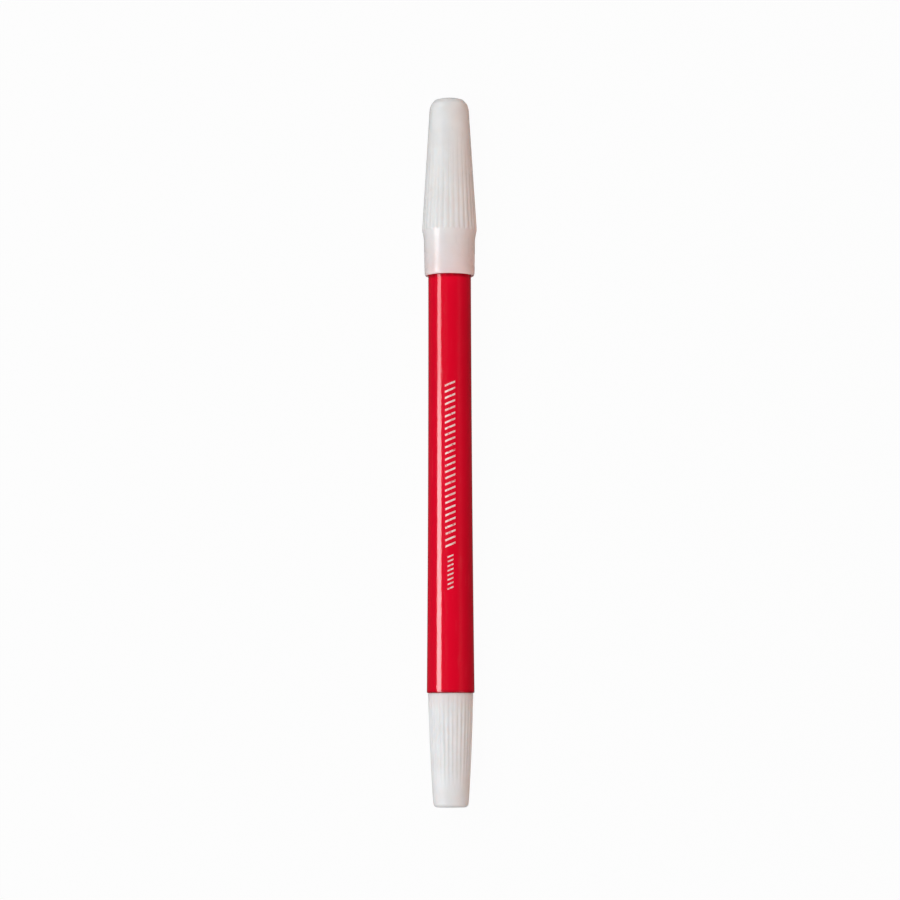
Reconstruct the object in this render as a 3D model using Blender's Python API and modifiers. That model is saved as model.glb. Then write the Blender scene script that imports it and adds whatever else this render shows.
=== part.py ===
"""A fibre-tip sign pen that lies on its side with its cap on.

Each piece is turned about the pen's own axis: heights run along that axis, from the flat end of the
tail plug at zero to the crown of the cap. An empty then lays the whole pen down along world +Y, with
its widest point touching z = 0 and its middle over the origin.
"""
import math

import bmesh
import bpy
from mathutils import Matrix

# Lengths along the pen, in metres
TAIL_LENGTH = 0.0231            # tail plug that shows behind the barrel
BARREL_LENGTH_SHOWN = 0.0853    # barrel between the tail plug and the rim of the cap
CAP_LENGTH = 0.0366

# Clearances
PRESS_CLEARANCE = 0.0001        # all round a pressed-in piece
SLIDE_CLEARANCE = 0.00015       # all round what the cap slides over
SEAT_GAP = 0.0002               # along the pen, between a shoulder and its seat

# Barrel: a moulded tube that flares towards the tail
BARREL_FRONT_DIAMETER = 0.00875
BARREL_REAR_DIAMETER = 0.0097
BARREL_WALL = 0.0008            # at the thin front end
BARREL_NECK = 0.0075            # front of the barrel that the cap covers
BARREL_EDGE = 0.00025           # rounding of its two ends
SOCKET_WALL = 0.0008            # round the tail plug's spigot
AIR_RIB_COUNT = 4               # ribs that hold the reservoir off the bore, so that air can pass
AIR_RIB_HEIGHT = 0.0003
AIR_RIB_WIDTH = 0.0006
AIR_RIB_SETBACK = 0.0010        # from the step of the socket

# Tail plug
TAIL_SHOULDER_SETBACK = 0.000275    # of its shoulder, inside the barrel's rear edge
TAIL_END_DIAMETER = 0.0072      # where the rounded end begins
TAIL_SWELL = 0.00013            # how far the taper bows outwards
TAIL_END_ROUND = 0.0009
TAIL_END_WALL = 0.0014
TAIL_SIDE_WALL = 0.0013         # beside the bottom of the hollow
TAIL_FLUTE_DEPTH = 0.00016
TAIL_PLAIN_LENGTH = 0.0029      # between the flutes and the rounded end
SPIGOT_LENGTH = 0.0075
SPIGOT_WALL = 0.0010
SPIGOT_RING_COUNT = 3
SPIGOT_RING_RISE = 0.00015
SPIGOT_RING_RAMP = 0.5          # share of a ring's pitch that slopes up
SPIGOT_RING_LAND = 0.25         # share of a ring's pitch that is full size

# Cap: a fluted cone over a plain skirt
CAP_CREASE_DIAMETER = 0.00796   # where the cone meets the crown
CAP_DOME_HEIGHT = 0.0015
CAP_DOME_FLAT_DIAMETER = 0.0032
CAP_SKIRT_WALL = 0.0006         # at the rim
CAP_SKIRT_DRAFT = 0.00012       # gain in radius from the rim up to the ribs
CAP_RIB_RISE = 0.000375         # of the ribs' lower ends over the skirt
CAP_RIB_START = 0.0006          # from the cap's inner stop up to the ribs' lower ends
CAP_STEP_HEIGHT = 0.0022        # of the slope under the ribs
CAP_RIM_ROUND_HEIGHT = 0.0010
CAP_RIM_ROUND_DEPTH = 0.00025
CAP_MOUTH_CHAMFER = 0.00015
CAP_WALL = 0.0009
CAP_CROWN_WALL = 0.0012
CAP_INNER_ROUND = 0.0004
CAP_FLUTE_DEPTH = 0.00024
CAP_PLAIN_LENGTH = 0.0040       # between the flutes and the crown
SEAL_BEAD_HEIGHT = 0.0020
SEAL_BEAD_SLOPE = 0.0006

# Flutes of the cap and of the tail plug
FLUTE_COUNT = 30
FLUTE_WIDTH_SHARE = 0.80        # of the pitch, for the tool that cuts a flute
FLUTE_SIDES = 12
FLUTE_OVERRUN = 0.0006          # of the tool, past the end of the piece

# Nib holder
FLANGE_THICKNESS = 0.0010
FLANGE_SETBACK = 0.0001         # of the flange's edge, inside the barrel's front edge
FLANGE_SEAT_WIDTH = 0.00045     # step from the flange to the land that the cap seals on
SEAL_LAND_LENGTH = 0.0032
SHANK_LENGTH = 0.0080
SHANK_WALL = 0.0010
SHANK_CHAMFER = 0.0003
FUNNEL_LENGTH = 0.0040          # inside, from the hollow shank down to the nib's bore
NOSE_TIP_WALL = 0.0007
NOSE_TIP_LENGTH = 0.0020
NOSE_TIP_CHAMFER = 0.0004
AIR_GROOVE_COUNT = 4            # round the nib's bore
AIR_GROOVE_DIAMETER = 0.0005

# Nib
NIB_DIAMETER = 0.0020
NIB_SHOWN = 0.0028              # in front of the nose
NIB_HEADROOM = 0.0065           # from the nib's point to the inside of the crown
NIB_CONE_LENGTH = 0.0018
NIB_POINT_RADIUS = 0.0004
NIB_IN_RESERVOIR = 0.0080
NIB_REAR_CHAMFER = 0.0002

# Ink reservoir and its film
RESERVOIR_CLEARANCE = 0.0001    # film to the barrel's air ribs
FILM_THICKNESS = 0.0001
FILM_CLEARANCE = 0.0001         # core to film
FILM_SETBACK = 0.0010           # of the film's ends from those of the core

# Facets
TURN_STEPS = 60
INNER_STEPS = 40
NIB_STEPS = 32
AIR_GROOVE_SIDES = 8
ARC_STEPS = 4
BARREL_CURVE_STEPS = 6
TAIL_CURVE_STEPS = 5
MERGE_DISTANCE = 0.000001

# Heights along the pen
barrel_rear = TAIL_LENGTH
cap_rim = barrel_rear + BARREL_LENGTH_SHOWN
barrel_front = cap_rim + BARREL_NECK
cap_crown = cap_rim + CAP_LENGTH
cap_crease = cap_crown - CAP_DOME_HEIGHT
crown_inside = cap_crown - CAP_CROWN_WALL
tail_shoulder = barrel_rear - SEAT_GAP
spigot_end = tail_shoulder + SPIGOT_LENGTH
socket_end = spigot_end + SEAT_GAP
flange_rear = barrel_front + SEAT_GAP
flange_front = flange_rear + FLANGE_THICKNESS
cap_stop = flange_front + SEAT_GAP
cap_bulge = cap_stop + CAP_RIB_START
seal_land_end = flange_front + SEAL_LAND_LENGTH
shank_end = flange_rear - SHANK_LENGTH
nib_point = crown_inside - NIB_HEADROOM
nose_end = nib_point - NIB_SHOWN
reservoir_front = shank_end - SEAT_GAP
reservoir_rear = spigot_end + SEAT_GAP
nib_rear = reservoir_front - NIB_IN_RESERVOIR

# Radii that one piece takes from another
bore_radius = BARREL_FRONT_DIAMETER / 2 - BARREL_WALL
socket_radius = BARREL_REAR_DIAMETER / 2 - SOCKET_WALL
spigot_radius = socket_radius - PRESS_CLEARANCE
shank_radius = bore_radius - PRESS_CLEARANCE
flange_radius = BARREL_FRONT_DIAMETER / 2 - FLANGE_SETBACK
seal_land_radius = flange_radius - FLANGE_SEAT_WIDTH
nib_radius = NIB_DIAMETER / 2
nib_bore_radius = nib_radius + PRESS_CLEARANCE
film_radius = bore_radius - AIR_RIB_HEIGHT - RESERVOIR_CLEARANCE
core_radius = film_radius - FILM_THICKNESS - FILM_CLEARANCE
tail_shoulder_radius = BARREL_REAR_DIAMETER / 2 - TAIL_SHOULDER_SETBACK
tail_end_radius = TAIL_END_DIAMETER / 2


def arc(centre, radii, start, end, steps=ARC_STEPS):
    """Points (radius, height) on an elliptical arc, with angles in degrees from straight outwards."""
    points = []
    for step in range(steps + 1):
        angle = math.radians(start + (end - start) * step / steps)
        points.append((centre[0] + radii[0] * math.cos(angle), centre[1] + radii[1] * math.sin(angle)))
    return points


def barrel_radius(height):
    """Outer radius of the barrel, a parabola that runs out straight at the front."""
    share = (barrel_front - height) / (barrel_front - barrel_rear)
    flare = (BARREL_REAR_DIAMETER - BARREL_FRONT_DIAMETER) / 2
    return BARREL_FRONT_DIAMETER / 2 + flare * share ** 2


mouth_radius = barrel_radius(cap_rim) + SLIDE_CLEARANCE
skirt_rim_radius = mouth_radius + CAP_SKIRT_WALL
skirt_top_radius = skirt_rim_radius + CAP_SKIRT_DRAFT
bulge_radius = skirt_top_radius + CAP_RIB_RISE
crease_radius = CAP_CREASE_DIAMETER / 2


def cone_radius(height):
    """Outer radius of the cap's cone, over the ribs."""
    share = (height - cap_bulge) / (cap_crease - cap_bulge)
    return bulge_radius + (crease_radius - bulge_radius) * share


def tail_radius(height):
    """Outer radius of the tail plug's bowed taper."""
    share = (height - TAIL_END_ROUND) / (tail_shoulder - TAIL_END_ROUND)
    straight = tail_end_radius + (tail_shoulder_radius - tail_end_radius) * share
    return straight + 4 * TAIL_SWELL * share * (1 - share)


def new_collection(name):
    collection = bpy.data.collections.new(name)
    bpy.context.scene.collection.children.link(collection)
    return collection


def new_material(name, colour, roughness):
    material = bpy.data.materials.new(name)
    material.use_nodes = True
    shader = material.node_tree.nodes["Principled BSDF"]
    shader.inputs["Base Color"].default_value = (*colour, 1.0)
    shader.inputs["Roughness"].default_value = roughness
    shader.inputs["Metallic"].default_value = 0.0
    return material


def turned(name, profile, origin, material, closed=False, steps=TURN_STEPS):
    """A piece turned from (radius, height) points that run down its outer side, placed at its origin."""
    mesh = bpy.data.meshes.new(name)
    points = [(radius, 0.0, height - origin) for radius, height in profile]
    links = [(index, index + 1) for index in range(len(points) - 1)]
    if closed:
        links.append((len(points) - 1, 0))
    mesh.from_pydata(points, links, [])
    mesh.materials.append(material)
    piece = bpy.data.objects.new(name, mesh)
    parts.objects.link(piece)
    piece.parent = pen_axis
    piece.location.z = origin
    piece.rotation_euler.z = math.pi / steps  # a facet, not a corner, faces straight down
    turn = piece.modifiers.new("Turn", "SCREW")
    turn.steps = steps
    turn.render_steps = steps
    turn.use_merge_vertices = True
    turn.merge_threshold = MERGE_DISTANCE
    turn.use_smooth_shade = True
    return piece


def new_cutter(name, shapes):
    """One guide object, in pen heights, from a bmesh of separate shapes."""
    mesh = bpy.data.meshes.new(name)
    shapes.to_mesh(mesh)
    shapes.free()
    cutter = bpy.data.objects.new(name, mesh)
    cutters.objects.link(cutter)
    cutter.parent = pen_axis
    cutter.hide_render = True
    cutter.display_type = "WIRE"
    return cutter


def apply_cutter(piece, cutter, operation):
    boolean = piece.modifiers.new(cutter.name, "BOOLEAN")
    boolean.operation = operation
    boolean.solver = "EXACT"
    boolean.object = cutter


def flute_tools(name, low, high):
    """Tapered rods laid along the flutes, from the (radius, height) of the flute's floor at each end."""
    pitch = 2 * math.pi / FLUTE_COUNT
    low_tool = low[0] * pitch * FLUTE_WIDTH_SHARE / 2
    high_tool = high[0] * pitch * FLUTE_WIDTH_SHARE / 2
    rise = high[1] - low[1]
    spread = high[0] + high_tool - low[0] - low_tool
    middle = ((low[0] + low_tool + high[0] + high_tool) / 2, 0.0, (low[1] + high[1]) / 2)
    lean = Matrix.Translation(middle) @ Matrix.Rotation(math.atan2(spread, rise), 4, "Y")
    shapes = bmesh.new()
    for index in range(FLUTE_COUNT):
        bmesh.ops.create_cone(
            shapes,
            cap_ends=True,
            segments=FLUTE_SIDES,
            radius1=low_tool,
            radius2=high_tool,
            depth=math.hypot(rise, spread),
            matrix=Matrix.Rotation(pitch * index, 4, "Z") @ lean,
        )
    return new_cutter(name, shapes)


def line_through(start, end, height):
    """Radius at a height on the straight line through two (radius, height) points."""
    return start[0] + (end[0] - start[0]) * (height - start[1]) / (end[1] - start[1])


def make_barrel():
    edge = (BARREL_EDGE, BARREL_EDGE)
    front_corner = barrel_front - BARREL_EDGE
    rear_corner = barrel_rear + BARREL_EDGE
    outer = arc((barrel_radius(front_corner) - BARREL_EDGE, front_corner), edge, 90, 0)
    for step in range(1, BARREL_CURVE_STEPS):
        height = front_corner + (rear_corner - front_corner) * step / BARREL_CURVE_STEPS
        outer.append((barrel_radius(height), height))
    outer += arc((barrel_radius(rear_corner) - BARREL_EDGE, rear_corner), edge, 0, -90)
    step_end = socket_end + socket_radius - bore_radius
    inner = [
        (socket_radius, barrel_rear),
        (socket_radius, socket_end),
        (bore_radius, step_end),
        (bore_radius, barrel_front),
    ]
    barrel = turned("barrel", outer + inner, barrel_rear, barrel_red, closed=True)

    rib_start = step_end + AIR_RIB_SETBACK
    rib_end = shank_end - SEAT_GAP
    root = bore_radius + BARREL_WALL / 2
    crest = bore_radius - AIR_RIB_HEIGHT
    size = Matrix.Diagonal((root - crest, AIR_RIB_WIDTH, rib_end - rib_start, 1.0))
    place = Matrix.Translation(((root + crest) / 2, 0.0, (rib_start + rib_end) / 2))
    shapes = bmesh.new()
    for index in range(AIR_RIB_COUNT):
        spin = Matrix.Rotation(2 * math.pi * index / AIR_RIB_COUNT, 4, "Z")
        bmesh.ops.create_cube(shapes, size=1.0, matrix=spin @ place @ size)
    apply_cutter(barrel, new_cutter("air_rib_blanks", shapes), "UNION")


def make_tail_plug():
    root_radius = spigot_radius - SPIGOT_RING_RISE
    hollow_end_radius = tail_radius(TAIL_END_WALL) - TAIL_SIDE_WALL
    profile = [
        (0.0, TAIL_END_WALL),
        (hollow_end_radius, TAIL_END_WALL),
        (root_radius - SPIGOT_WALL, spigot_end),
    ]
    ring_pitch = SPIGOT_LENGTH / SPIGOT_RING_COUNT
    for index in range(SPIGOT_RING_COUNT):
        top = spigot_end - ring_pitch * index
        land_top = top - ring_pitch * SPIGOT_RING_RAMP
        land_foot = land_top - ring_pitch * SPIGOT_RING_LAND
        profile += [(root_radius, top), (spigot_radius, land_top)]
        profile += [(spigot_radius, land_foot), (root_radius, land_foot)]
    profile.append((root_radius, tail_shoulder))
    for step in range(TAIL_CURVE_STEPS):
        height = tail_shoulder + (TAIL_END_ROUND - tail_shoulder) * step / TAIL_CURVE_STEPS
        profile.append((tail_radius(height), height))
    corner = (tail_end_radius - TAIL_END_ROUND, TAIL_END_ROUND)
    profile += arc(corner, (TAIL_END_ROUND, TAIL_END_ROUND), 0, -90)
    profile.append((0.0, 0.0))
    tail_plug = turned("tail_plug", profile, tail_shoulder, tail_white)

    fade = TAIL_END_ROUND + TAIL_PLAIN_LENGTH
    deep_end = (tail_shoulder_radius - TAIL_FLUTE_DEPTH, tail_shoulder)
    fade_end = (tail_radius(fade), fade)
    low = fade - FLUTE_OVERRUN
    high = tail_shoulder + FLUTE_OVERRUN
    tools = flute_tools(
        "tail_flute_tools",
        (line_through(deep_end, fade_end, low), low),
        (line_through(deep_end, fade_end, high), high),
    )
    apply_cutter(tail_plug, tools, "DIFFERENCE")


def make_reservoir():
    hole_end = nib_rear - SEAT_GAP
    core = [
        (nib_bore_radius, reservoir_front),
        (core_radius, reservoir_front),
        (core_radius, reservoir_rear),
        (0.0, reservoir_rear),
    ]
    hole = [(0.0, hole_end), (nib_bore_radius, hole_end)]
    turned("ink_reservoir", hole + core, reservoir_rear, ink_fibre, steps=INNER_STEPS)
    film_front = reservoir_front - FILM_SETBACK
    film_rear = reservoir_rear + FILM_SETBACK
    inside = film_radius - FILM_THICKNESS
    film = [(film_radius, film_front), (film_radius, film_rear), (inside, film_rear), (inside, film_front)]
    turned("reservoir_film", film, film_rear, clear_film, closed=True, steps=INNER_STEPS)


def make_nib_holder():
    hollow_radius = shank_radius - SHANK_WALL
    nose_radius = nib_bore_radius + NOSE_TIP_WALL
    profile = [
        (nib_bore_radius, nose_end),
        (nose_radius - NOSE_TIP_CHAMFER, nose_end),
        (nose_radius, nose_end - NOSE_TIP_CHAMFER),
        (nose_radius, nose_end - NOSE_TIP_LENGTH),
        (seal_land_radius, seal_land_end),
        (seal_land_radius, flange_front),
        (flange_radius, flange_front),
        (flange_radius, flange_rear),
        (shank_radius, flange_rear),
        (shank_radius, shank_end + SHANK_CHAMFER),
        (shank_radius - SHANK_CHAMFER, shank_end),
        (hollow_radius, shank_end),
        (hollow_radius, flange_rear),
        (nib_bore_radius, flange_rear + FUNNEL_LENGTH),
    ]
    nib_holder = turned("nib_holder", profile, flange_rear, holder_red, closed=True, steps=INNER_STEPS)

    groove_start = flange_rear + FUNNEL_LENGTH / 2
    groove_end = nose_end + FLUTE_OVERRUN
    place = Matrix.Translation((nib_bore_radius, 0.0, (groove_start + groove_end) / 2))
    shapes = bmesh.new()
    for index in range(AIR_GROOVE_COUNT):
        bmesh.ops.create_cone(
            shapes,
            cap_ends=True,
            segments=AIR_GROOVE_SIDES,
            radius1=AIR_GROOVE_DIAMETER / 2,
            radius2=AIR_GROOVE_DIAMETER / 2,
            depth=groove_end - groove_start,
            matrix=Matrix.Rotation(2 * math.pi * index / AIR_GROOVE_COUNT, 4, "Z") @ place,
        )
    apply_cutter(nib_holder, new_cutter("air_groove_tools", shapes), "DIFFERENCE")


def make_nib():
    slope = math.degrees(math.atan2(nib_radius, NIB_CONE_LENGTH))
    ball_centre = (0.0, nib_point - NIB_POINT_RADIUS)
    profile = arc(ball_centre, (NIB_POINT_RADIUS, NIB_POINT_RADIUS), 90, slope)
    profile[0] = (0.0, nib_point)
    profile += [
        (nib_radius, nib_point - NIB_CONE_LENGTH),
        (nib_radius, nib_rear + NIB_REAR_CHAMFER),
        (nib_radius - NIB_REAR_CHAMFER, nib_rear),
        (0.0, nib_rear),
    ]
    turned("nib", profile, nib_rear, nib_fibre, steps=NIB_STEPS)


def make_cap():
    flat_radius = CAP_DOME_FLAT_DIAMETER / 2
    dome_width = crease_radius - flat_radius
    dome_radius = (dome_width ** 2 + CAP_DOME_HEIGHT ** 2) / (2 * CAP_DOME_HEIGHT)
    crease_angle = 90 - math.degrees(math.asin(dome_width / dome_radius))
    bead_radius = seal_land_radius + SLIDE_CLEARANCE
    bead_top = cap_stop + SEAL_BEAD_HEIGHT
    cavity_foot = bead_top + SEAL_BEAD_SLOPE
    cavity_foot_radius = cone_radius(cavity_foot) - CAP_FLUTE_DEPTH - CAP_WALL
    cavity_top_radius = crease_radius - CAP_WALL
    inner_corner = (cavity_top_radius - CAP_INNER_ROUND, crown_inside - CAP_INNER_ROUND)

    profile = [(0.0, cap_crown)]
    profile += arc((flat_radius, cap_crown - dome_radius), (dome_radius, dome_radius), 90, crease_angle)
    profile += [(bulge_radius, cap_bulge), (skirt_top_radius, cap_bulge - CAP_STEP_HEIGHT)]
    rim_corner = (skirt_rim_radius - CAP_RIM_ROUND_DEPTH, cap_rim + CAP_RIM_ROUND_HEIGHT)
    profile += arc(rim_corner, (CAP_RIM_ROUND_DEPTH, CAP_RIM_ROUND_HEIGHT), 0, -90)
    profile += [
        (mouth_radius + CAP_MOUTH_CHAMFER, cap_rim),
        (mouth_radius, cap_rim + CAP_MOUTH_CHAMFER),
        (mouth_radius, cap_stop),
        (bead_radius, cap_stop),
        (bead_radius, bead_top),
        (cavity_foot_radius, cavity_foot),
    ]
    profile += arc(inner_corner, (CAP_INNER_ROUND, CAP_INNER_ROUND), 0, 90)
    profile.append((0.0, crown_inside))
    cap = turned("cap", profile, cap_rim, cap_white)

    fade = cap_crease - CAP_PLAIN_LENGTH
    deep_end = (bulge_radius - CAP_FLUTE_DEPTH, cap_bulge)
    fade_end = (cone_radius(fade), fade)
    low = cap_bulge - CAP_STEP_HEIGHT
    high = fade + FLUTE_OVERRUN
    tools = flute_tools(
        "cap_flute_tools",
        (line_through(deep_end, fade_end, low), low),
        (line_through(deep_end, fade_end, high), high),
    )
    apply_cutter(cap, tools, "DIFFERENCE")


for leftover in list(bpy.data.objects):
    bpy.data.objects.remove(leftover, do_unlink=True)

parts = new_collection("sign_pen")
cutters = new_collection("sign_pen_cutters")
barrel_red = new_material("barrel_red", (0.60, 0.004, 0.016), 0.25)
holder_red = new_material("holder_red", (0.55, 0.004, 0.016), 0.30)
cap_white = new_material("cap_white", (0.80, 0.79, 0.77), 0.40)
tail_white = new_material("tail_white", (0.80, 0.79, 0.77), 0.42)
nib_fibre = new_material("nib_fibre", (0.35, 0.01, 0.02), 0.85)
ink_fibre = new_material("ink_fibre", (0.45, 0.01, 0.02), 0.95)
clear_film = new_material("clear_film", (0.75, 0.70, 0.70), 0.15)

# The empty lays the pen down: its own +Z, from tail to cap, becomes world +Y
pen_axis = bpy.data.objects.new("pen_axis", None)
parts.objects.link(pen_axis)
pen_axis.location = (0.0, -cap_crown / 2, bulge_radius * math.cos(math.pi / TURN_STEPS))
pen_axis.rotation_euler.x = -math.pi / 2

make_barrel()
make_tail_plug()
make_reservoir()
make_nib_holder()
make_nib()
make_cap()
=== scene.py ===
import math

import bmesh
import bpy
from mathutils import Matrix, Vector


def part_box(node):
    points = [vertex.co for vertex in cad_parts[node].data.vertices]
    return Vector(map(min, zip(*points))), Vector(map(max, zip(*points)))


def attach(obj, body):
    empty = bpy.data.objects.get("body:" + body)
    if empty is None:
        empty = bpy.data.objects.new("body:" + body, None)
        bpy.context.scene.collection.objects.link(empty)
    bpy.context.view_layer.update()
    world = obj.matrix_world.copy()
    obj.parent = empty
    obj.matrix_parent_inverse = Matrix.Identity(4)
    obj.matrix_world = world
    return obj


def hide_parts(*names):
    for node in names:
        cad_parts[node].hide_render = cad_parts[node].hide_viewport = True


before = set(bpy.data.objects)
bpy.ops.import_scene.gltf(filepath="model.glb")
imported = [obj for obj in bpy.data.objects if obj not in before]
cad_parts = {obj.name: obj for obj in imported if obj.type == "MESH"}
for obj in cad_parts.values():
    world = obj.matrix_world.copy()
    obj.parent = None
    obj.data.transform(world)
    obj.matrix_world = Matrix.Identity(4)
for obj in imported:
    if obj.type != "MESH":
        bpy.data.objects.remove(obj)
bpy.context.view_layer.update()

# the pen lies along +Y; heights in the dictionaries run from the tail's flat end up to the cap's crown
capLow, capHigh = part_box("cap")
axisHeight = (capLow.z + capHigh.z) / 2
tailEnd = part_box("tail_plug")[0].y
print("frame:", ", ".join(sorted(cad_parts)))


# shared modelling helpers; slack says how near counts as the same place

slack = {"merge": 5e-7, "ring": 2e-6, "axis": 1e-5, "form": 1e-6}


def arcPoints(centre, radii, startDeg, endDeg, count):
    points = []
    for i in range(count + 1):
        a = math.radians(startDeg + (endDeg - startDeg) * i / count)
        points.append((centre[0] + radii[0] * math.cos(a), centre[1] + radii[1] * math.sin(a)))
    return points


def linePoints(start, end, count):
    return [tuple(a + (b - a) * i / count for a, b in zip(start, end)) for i in range(1, count)]


def spinOutline(outline, steps, closed=False):
    # a few vertices on the top side of the pen, spun once round its axis
    bm = bmesh.new()
    verts = [bm.verts.new((0.0, tailEnd + h, axisHeight + r)) for r, h in outline]
    edges = [bm.edges.new(pair) for pair in zip(verts, verts[1:])]
    if closed:
        edges.append(bm.edges.new((verts[-1], verts[0])))
    bmesh.ops.spin(bm, geom=verts + edges, cent=(0.0, 0.0, axisHeight), axis=(0.0, 1.0, 0.0),
                   angle=2 * math.pi, steps=steps, use_merge=True, use_duplicate=False)
    bmesh.ops.remove_doubles(bm, verts=bm.verts, dist=slack["merge"])
    bmesh.ops.recalc_face_normals(bm, faces=bm.faces)
    return bm


def ringPlace(vert):
    # radius, height along the pen and angle from straight up
    return (math.hypot(vert.co.x, vert.co.z - axisHeight), vert.co.y - tailEnd,
            math.atan2(vert.co.x, vert.co.z - axisHeight))


def roundRings(bm, corners, segments=3):
    # bevels whole ring edges, each given as radius, height and width
    for radius, height, width in corners:
        here = set()
        for v in bm.verts:
            place = ringPlace(v)
            if abs(place[0] - radius) < slack["ring"] and abs(place[1] - height) < slack["ring"]:
                here.add(v)
        ring = {edge for v in here for edge in v.link_edges if edge.other_vert(v) in here}
        bmesh.ops.bevel(bm, geom=list(ring), offset=width, offset_type="OFFSET", segments=segments,
                        profile=0.5, affect="EDGES", material=-1)


def pressGrooves(bm, count, newRadius):
    # moves vertices straight in or out; newRadius takes radius, height and angle from a groove's middle
    pitch = 2 * math.pi / count
    for v in bm.verts:
        radius, height, angle = ringPlace(v)
        if radius < slack["axis"]:
            continue
        offset = abs((angle / pitch) % 1.0 - 0.5) * pitch
        wanted = newRadius(radius, height, offset)
        if wanted is not None:
            v.co.x *= wanted / radius
            v.co.z = axisHeight + (v.co.z - axisHeight) * wanted / radius


def toolHit(floorRadius, toolRadius, offset):
    # where a ray from the axis first meets a round groove tool, or None beside it
    centre = floorRadius + toolRadius
    side = centre * math.sin(offset)
    if side >= toolRadius:
        return None
    return centre * math.cos(offset) - math.sqrt(toolRadius ** 2 - side ** 2)


def fluteRadius(form, floor, radius, offset):
    # the radius that a flute leaves, or None where it doesn't reach the skin
    pitchAngle = 2 * math.pi / form["flutes"]
    hit = toolHit(floor, floor * pitchAngle * form["fluteShare"] / 2, offset)
    return hit if hit is not None and hit < radius else None


def finishPiece(bm, name, material, turnDeg=0.0, sharpDeg=50.0):
    if turnDeg:
        bmesh.ops.rotate(bm, cent=(0.0, 0.0, axisHeight), verts=bm.verts,
                         matrix=Matrix.Rotation(math.radians(turnDeg), 3, "Y"))
    bmesh.ops.recalc_face_normals(bm, faces=bm.faces)
    for face in bm.faces:
        face.smooth = True
    mesh = bpy.data.meshes.new(name)
    bm.to_mesh(mesh)
    bm.free()
    mesh.set_sharp_from_angle(angle=math.radians(sharpDeg))
    mesh.materials.append(material)
    piece = bpy.data.objects.new(name, mesh)
    bpy.context.scene.collection.objects.link(piece)
    print("piece:", name, len(mesh.polygons), "faces")
    return piece


# shader groups that several materials share

def newGroup(name, inputs, outputs):
    tree = bpy.data.node_groups.new(name, "ShaderNodeTree")
    for label, value in inputs.items():
        tree.interface.new_socket(name=label, in_out="INPUT", socket_type="NodeSocketFloat").default_value = value
    for label in outputs:
        tree.interface.new_socket(name=label, in_out="OUTPUT", socket_type="NodeSocketFloat")
    return tree, tree.nodes.new("NodeGroupInput"), tree.nodes.new("NodeGroupOutput")


def addNode(tree, kind, **settings):
    node = tree.nodes.new(kind)
    for key, value in settings.items():
        setattr(node, key, value)
    return node


def objectPlace(tree):
    return addNode(tree, "ShaderNodeTexCoord").outputs["Object"]


def addNoise(tree, vector, scale, detail, roughness=0.5):
    noise = addNode(tree, "ShaderNodeTexNoise")
    noise.inputs["Detail"].default_value = detail
    noise.inputs["Roughness"].default_value = roughness
    tree.links.new(vector, noise.inputs["Vector"])
    if isinstance(scale, (int, float)):
        noise.inputs["Scale"].default_value = scale
    else:
        tree.links.new(scale, noise.inputs["Scale"])
    return noise.outputs["Fac"]


def addRange(tree, value, low, high, toLow=0.0, toHigh=1.0):
    node = addNode(tree, "ShaderNodeMapRange", interpolation_type="SMOOTHSTEP")
    tree.links.new(value, node.inputs["Value"])
    for label, number in (("From Min", low), ("From Max", high), ("To Min", toLow), ("To Max", toHigh)):
        node.inputs[label].default_value = number
    return node.outputs["Result"]


def addMath(tree, operation, a, b):
    node = addNode(tree, "ShaderNodeMath", operation=operation)
    for socket, value in zip(node.inputs, (a, b)):
        if isinstance(value, (int, float)):
            socket.default_value = value
        else:
            tree.links.new(value, socket)
    return node.outputs["Value"]


def addMix(tree, factor, a, b):
    node = addNode(tree, "ShaderNodeMix", data_type="RGBA")
    tree.links.new(factor, node.inputs["Factor"])
    for label, value in (("A", a), ("B", b)):
        socket = next(s for s in node.inputs if s.name == label and s.type == "RGBA")
        if isinstance(value, tuple):
            socket.default_value = (*value, 1.0)
        else:
            tree.links.new(value, socket)
    return next(s for s in node.outputs if s.type == "RGBA")


def stretchPlace(tree, place, scale, turn=(0.0, 0.0, 0.0)):
    along = addNode(tree, "ShaderNodeMapping")
    along.inputs["Scale"].default_value = scale
    along.inputs["Rotation"].default_value = turn
    tree.links.new(place, along.inputs["Vector"])
    return along.outputs["Vector"]


skinForm = {
    "scales": {"Cloud Scale": 120.0, "Grain Scale": 9000.0, "Scuff Scale": 2600.0},
    "cloudDetail": 3.0, "grainDetail": 2.0, "scuffDetail": 1.0, "scuffSpan": (0.62, 0.70),
    "scuffStretch": (1.0, 0.035, 1.0), "scuffTurn": (0.03, 0.0, 0.05),
    "patchScale": 210.0, "patchDetail": 2.0, "patchSpan": (0.48, 0.62),
}


def makeMouldSkin():
    # moulded plastic: soft clouds of tone, a fine grain, hairline scuffs along the pen
    s = skinForm
    tree, ins, outs = newGroup("mouldSkin", s["scales"], ("Cloud", "Grain", "Scuff"))
    place = objectPlace(tree)
    tree.links.new(addNoise(tree, place, ins.outputs["Cloud Scale"], s["cloudDetail"]), outs.inputs["Cloud"])
    tree.links.new(addNoise(tree, place, ins.outputs["Grain Scale"], s["grainDetail"]), outs.inputs["Grain"])
    along = stretchPlace(tree, place, s["scuffStretch"], s["scuffTurn"])
    lines = addNoise(tree, along, ins.outputs["Scuff Scale"], s["scuffDetail"])
    lines = addRange(tree, lines, *s["scuffSpan"])
    patches = addNoise(tree, place, s["patchScale"], s["patchDetail"])
    patches = addRange(tree, patches, *s["patchSpan"])
    tree.links.new(addMath(tree, "MULTIPLY", lines, patches), outs.inputs["Scuff"])
    return tree


rubForm = {
    "scales": {"Break Scale": 700.0}, "breakDetail": 3.0, "breakSpan": (0.35, 0.65), "breakTone": (0.45, 1.0),
    "crestSpan": (0.505, 0.56), "hollowSpan": (0.495, 0.44),
}


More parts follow.
